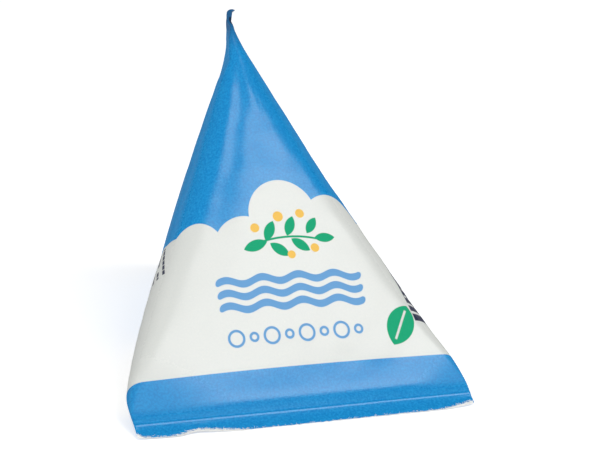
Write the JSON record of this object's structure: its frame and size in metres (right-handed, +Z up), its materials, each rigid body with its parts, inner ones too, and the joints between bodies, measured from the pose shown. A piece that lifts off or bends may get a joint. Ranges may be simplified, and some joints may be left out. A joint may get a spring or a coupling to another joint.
{
  "type": "pyramid milk portion pack",
  "caption": "Small sealed pyramid-shaped portion pack of coated paper for milk, with a flat sealed fin at each end, lying on one face.",
  "frame": {"origin": "on the surface that the pack lies on, under the middle of the box round the pack", "axes": "+Z up, X along the bottom seal, and +Y from the bottom seal towards the far end of the top seal"},
  "size_m": [0.0464, 0.0598, 0.0444],
  "materials": {
    "coated_paper": "semi-gloss coated paper, printed sky blue over white"
  },
  "bodies": {
    "root": {"milk_pack": "coated_paper"}
  },
  "joints": []
}
